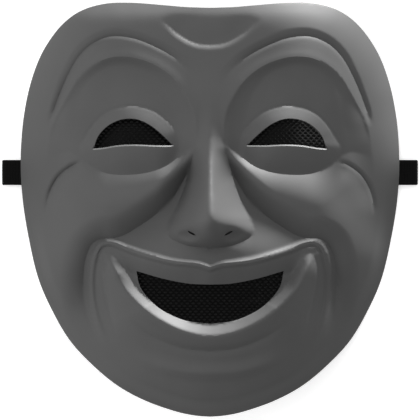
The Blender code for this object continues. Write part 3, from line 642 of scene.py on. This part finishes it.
def perforated(name, node, loop, inner, side):
    """The black sheet behind an opening: staggered oval holes right through, with a crowned web between."""
    points, faces, index = [], [], {}
    count = 8
    turn = np.linspace(0, 2 * np.pi, count, endpoint=False)
    hole = np.stack([HOLE_HALF[0] * np.cos(turn), HOLE_HALF[1] * np.sin(turn)], 1)
    corners = np.array([(HOLE_APART / 2, 0), (0, ROW_APART), (-HOLE_APART / 2, 0), (0, -ROW_APART)])
    web = np.empty((count, 2))
    web[0::2] = corners
    web[1::2] = (corners + np.roll(corners, -1, axis=0)) / 2

    def vertex(x, y, z, kind):
        key = (round(x, 3), round(y, 3), kind)
        if key not in index:
            index[key] = len(points)
            points.append((x, y, z))
        return index[key]

    low, high = loop.min(axis=0), loop.max(axis=0)
    cells = []
    for j in range(int(np.floor(low[1] / ROW_APART)), int(np.ceil(high[1] / ROW_APART)) + 1):
        for i in range(int(np.floor(low[0] / HOLE_APART)) - 1, int(np.ceil(high[0] / HOLE_APART)) + 1):
            cells.append(((i + 0.5 * (j % 2)) * HOLE_APART, j * ROW_APART))
    cells = np.array(cells)
    cells = cells[inside(loop, cells[:, 0], cells[:, 1])]
    for cx, cy in cells:
        ring, rim = web + (cx, cy), hole + (cx, cy)
        zr = inner(np.abs(ring[:, 0]), ring[:, 1]) - GAP
        zh = inner(np.abs(rim[:, 0]), rim[:, 1]) - GAP
        top = [vertex(x, y, z - WEB_DROP, 0) for (x, y), z in zip(ring, zr)]
        base = [vertex(x, y, z - SHEET_THICK, 1) for (x, y), z in zip(ring, zr)]
        lip = [vertex(x, y, z - HOLE_DROP, 2) for (x, y), z in zip(rim, zh)]
        foot = [vertex(x, y, z - SHEET_THICK, 3) for (x, y), z in zip(rim, zh)]
        for a in range(count):
            b = (a + 1) % count
            faces.append([top[a], top[b], lip[b], lip[a]])
            faces.append([lip[a], lip[b], foot[b], foot[a]])
            faces.append([base[b], base[a], foot[a], foot[b]])
    used = {}
    for f in faces:
        for a, b in zip(f, f[1:] + f[:1]):
            used[(a, b)] = used.get((a, b), 0) + 1
    lower = {top: base for top, base in pairs_of(index)}
    for a, b in [pair for pair in used if pair[::-1] not in used]:
        if a in lower and b in lower:
            faces.append([b, a, lower[a], lower[b]])
    points = np.array(points)
    if side < 0:
        points, faces = points * np.array([-1, 1, 1]), [f[::-1] for f in faces]
    screen = add_object(name, points, faces, screen_black(), 60)
    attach(screen, "root")
    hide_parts(node)


def pairs_of(index):
    """Each point of the web's top with the one under it."""
    for (x, y, kind), i in index.items():
        if kind == 0:
            yield i, index[(x, y, 1)]


def screen_black():
    """The screens' one black material, made by the first screen that asks for it."""
    name = "black_perforated_sheet"
    if name in bpy.data.materials:
        return bpy.data.materials[name]
    material = paint(name, (0.002, 0.002, 0.002), 0.4)
    nodes, links = material.node_tree.nodes, material.node_tree.links
    shader = nodes["Principled BSDF"]
    shader.inputs["Specular IOR Level"].default_value = 0.04
    where = nodes.new("ShaderNodeTexCoord")
    fibre = nodes.new("ShaderNodeTexNoise")
    fibre.inputs["Scale"].default_value = 900
    fibre.inputs["Detail"].default_value = 4
    links.new(where.outputs["Object"], fibre.inputs["Vector"])
    gloss = nodes.new("ShaderNodeMapRange")
    gloss.inputs["To Min"].default_value = 0.32
    gloss.inputs["To Max"].default_value = 0.5
    links.new(fibre.outputs["Fac"], gloss.inputs["Value"])
    links.new(gloss.outputs["Result"], shader.inputs["Roughness"])
    bump = nodes.new("ShaderNodeBump")
    bump.inputs["Strength"].default_value = 0.3
    bump.inputs["Distance"].default_value = 0.0001
    links.new(fibre.outputs["Fac"], bump.inputs["Height"])
    links.new(bump.outputs["Normal"], shader.inputs["Normal"])
    return material


def strap_path(inner):
    """The strap's middle line on the right, from the floor at the middle to its end on the inner wall."""
    fold = STRAP_ARCH - 1.2
    low = STRAP_THICK / 2 + 0.05
    bend = (fold - low) / 2
    path = [(0.0, low), (STRAP_OUT - STRAP_THICK / 2 - bend, low)]
    for angle in np.linspace(-90, 90, 8)[1:]:
        turn = math.radians(angle)
        path.append((path[1][0] + bend * math.cos(turn), low + bend + bend * math.sin(turn)))
    path += [(91.0, fold), (87.0, fold)]
    across = np.linspace(STRAP_Y - STRAP_WIDE / 2, STRAP_Y + STRAP_WIDE / 2, 7)
    x = np.linspace(60, 86, 131)
    wall = np.min([inner(x, np.full(x.shape, y)) for y in across], axis=0)
    slope = np.gradient(wall, x)
    away = GAP + 0.3 + STRAP_THICK / 2
    for height in (6.5, 9.0, 13.0, 17.0, 22.0, STRAP_END_Z):
        i = int(np.argmin(np.abs(wall - height)))
        size = math.hypot(slope[i], 1)
        path.append((x[i] + away * slope[i] / size, wall[i] - away / size))
    return np.array(path)


def woven_strap(inner):
    """The flat elastic: lengthwise ribs on both faces, and rounded edges."""
    half = even(strap_path(inner), STRAP_STEP)
    path = np.vstack([half[::-1] * (-1, 1), half[1:]])
    way = np.gradient(path, axis=0)
    way /= np.hypot(way[:, 0], way[:, 1])[:, None]
    across = np.linspace(-1, 1, 33)
    furrow = 0.5 + 0.5 * np.cos(across * np.pi * STRAP_RIBS)
    rib = 0.5 * STRAP_THICK * (1 - RIB_DEPTH * furrow) * (1 - np.abs(across) ** 14) ** 0.5
    section = [(s * STRAP_WIDE / 2, r) for s, r in zip(across, rib)]
    section += [(s * STRAP_WIDE / 2, -r) for s, r in zip(across[-2:0:-1], rib[-2:0:-1])]
    count = len(section)
    points, faces = [], []
    for (x, z), (wx, wz) in zip(path, way):
        for dy, r in section:
            points.append((x - wz * r, STRAP_Y + dy, z + wx * r))
    for i in range(len(path) - 1):
        for j in range(count):
            a, b = i * count + j, i * count + (j + 1) % count
            faces.append([a, b, b + count, a + count])
    last = (len(path) - 1) * count
    faces += [list(range(count))[::-1], [last + j for j in range(count)]]
    strap = add_object("woven_elastic_strap", np.array(points), faces, elastic(), 50)
    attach(strap, "root")
    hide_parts("elastic_strap")


def elastic():
    """Black elastic, with the fine bands of its weave."""
    material = paint("black_woven_elastic", (0.003, 0.003, 0.003), 0.8)
    nodes, links = material.node_tree.nodes, material.node_tree.links
    shader = nodes["Principled BSDF"]
    shader.inputs["Specular IOR Level"].default_value = 0.08
    where = nodes.new("ShaderNodeTexCoord")
    weave = nodes.new("ShaderNodeTexWave")
    weave.wave_type = "BANDS"
    weave.bands_direction = "X"
    weave.inputs["Scale"].default_value = 420
    weave.inputs["Distortion"].default_value = 1.2
    links.new(where.outputs["Object"], weave.inputs["Vector"])
    bump = nodes.new("ShaderNodeBump")
    bump.inputs["Strength"].default_value = 0.6
    bump.inputs["Distance"].default_value = 0.0002
    links.new(weave.outputs["Fac"], bump.inputs["Height"])
    links.new(bump.outputs["Normal"], shader.inputs["Normal"])
    tint = nodes.new("ShaderNodeValToRGB")
    tint.color_ramp.elements[0].color = (0.001, 0.001, 0.001, 1)
    tint.color_ramp.elements[1].color = (0.004, 0.004, 0.004, 1)
    links.new(weave.outputs["Fac"], tint.inputs["Fac"])
    links.new(tint.outputs["Color"], shader.inputs["Base Color"])
    return material


def studio():
    """A pale floor that glows round the mask, with a painted shadow under it, a soft room, a key light and a
    weak glint.
    """
    mesh = bpy.data.meshes.new("studio_floor")
    mesh.from_pydata([(-10, -10, 0), (10, -10, 0), (10, 10, 0), (-10, 10, 0)], [], [(0, 1, 2, 3)])
    white = paint("floor_white", (0.9, 0.9, 0.9), 0.9)
    shader = white.node_tree.nodes["Principled BSDF"]
    shader.inputs["Emission Color"].default_value = (1, 1, 1, 1)
    nodes, links = white.node_tree.nodes, white.node_tree.links
    where = nodes.new("ShaderNodeTexCoord")
    away = nodes.new("ShaderNodeVectorMath")
    away.operation = "LENGTH"
    links.new(where.outputs["Object"], away.inputs[0])
    # painted glow: the floor lights itself beyond the mask and not under it
    glow = nodes.new("ShaderNodeMapRange")
    glow.inputs["From Min"].default_value = FLOOR_PAINTED_SHADOW
    glow.inputs["From Max"].default_value = FLOOR_FULL_GLOW
    glow.inputs["To Max"].default_value = FLOOR_PAINTED_GLOW
    links.new(away.outputs["Value"], glow.inputs["Value"])
    links.new(glow.outputs["Result"], shader.inputs["Emission Strength"])
    # painted shadow: the floor's colour turns nearly black under the mask
    shade = nodes.new("ShaderNodeMapRange")
    shade.inputs["From Min"].default_value = FLOOR_PAINTED_SHADOW
    shade.inputs["From Max"].default_value = FLOOR_SHADOW_END
    shade.inputs["To Min"].default_value = 0.02
    shade.inputs["To Max"].default_value = 0.9
    links.new(away.outputs["Value"], shade.inputs["Value"])
    links.new(shade.outputs["Result"], shader.inputs["Base Color"])
    mesh.materials.append(white)
    floor = bpy.data.objects.new("studio_floor", mesh)
    floor.visible_diffuse = False
    bpy.context.collection.objects.link(floor)
    floor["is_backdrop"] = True
    world = bpy.data.worlds.new("room")
    bpy.context.scene.world = world
    world.use_nodes = True
    nodes, links = world.node_tree.nodes, world.node_tree.links
    background = nodes["Background"]
    background.inputs["Strength"].default_value = ROOM_LIGHT
    way = nodes.new("ShaderNodeTexCoord")
    share = nodes.new("ShaderNodeVectorMath")
    share.operation = "DOT_PRODUCT"
    share.inputs[1].default_value = ROOM_LEAN
    links.new(way.outputs["Generated"], share.inputs[0])
    level = nodes.new("ShaderNodeMath")
    level.operation = "ADD"
    level.inputs[1].default_value = 1
    links.new(share.outputs["Value"], level.inputs[0])
    links.new(level.outputs["Value"], background.inputs["Color"])
    sheets = [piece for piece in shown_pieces() if "sheet" in piece.name]
    sun("key", KEY_LIGHT, KEY_FROM, [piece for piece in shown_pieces() if piece not in sheets])
    sun("glint", GLINT_LIGHT, GLINT_FROM, [piece for piece in sheets if "left" not in piece.name])


def sun(name, energy, source, lit):
    """A sun that lights these pieces alone, and draws no shadow."""
    light = bpy.data.lights.new(name, "SUN")
    light.energy = energy
    light.angle = SUN_SPREAD
    light.use_shadow = False
    placed = bpy.data.objects.new(name, light)
    bpy.context.collection.objects.link(placed)
    placed.rotation_euler = Vector(source).to_track_quat("Z", "Y").to_euler()
    group = bpy.data.collections.new("lit_by_" + name)
    for piece in lit:
        group.objects.link(piece)
    placed.light_linking.receiver_collection = group


def camera():
    """Straight above the lying mask, far off, so that its raised middle isn't drawn larger."""
    lens = bpy.data.cameras.new("camera")
    lens.lens = lens.sensor_width * CAMERA_HEIGHT / VIEW_WIDTH
    lens.clip_end = 60
    made = bpy.data.objects.new("camera", lens)
    bpy.context.collection.objects.link(made)
    made.location = (0, 0, CAMERA_HEIGHT)
    bpy.context.scene.camera = made


def main():
    camera()
    inner = Inner()
    fine_shell(inner)
    eye, mouth = eye_screen_edge(SCREEN_STEP), trace(MOUTH_SCREEN, SCREEN_STEP)
    mouth = np.vstack([mouth, mouth[::-1] * (-1, 1)])
    perforated("eye_screen_right_sheet", "eye_screen_right", eye, inner, 1)
    perforated("eye_screen_left_sheet", "eye_screen_left", eye, inner, -1)
    perforated("mouth_screen_sheet", "mouth_screen", mouth, inner, 1)
    woven_strap(inner)
    studio()
    bpy.context.scene.view_settings.view_transform = "Standard"


main()
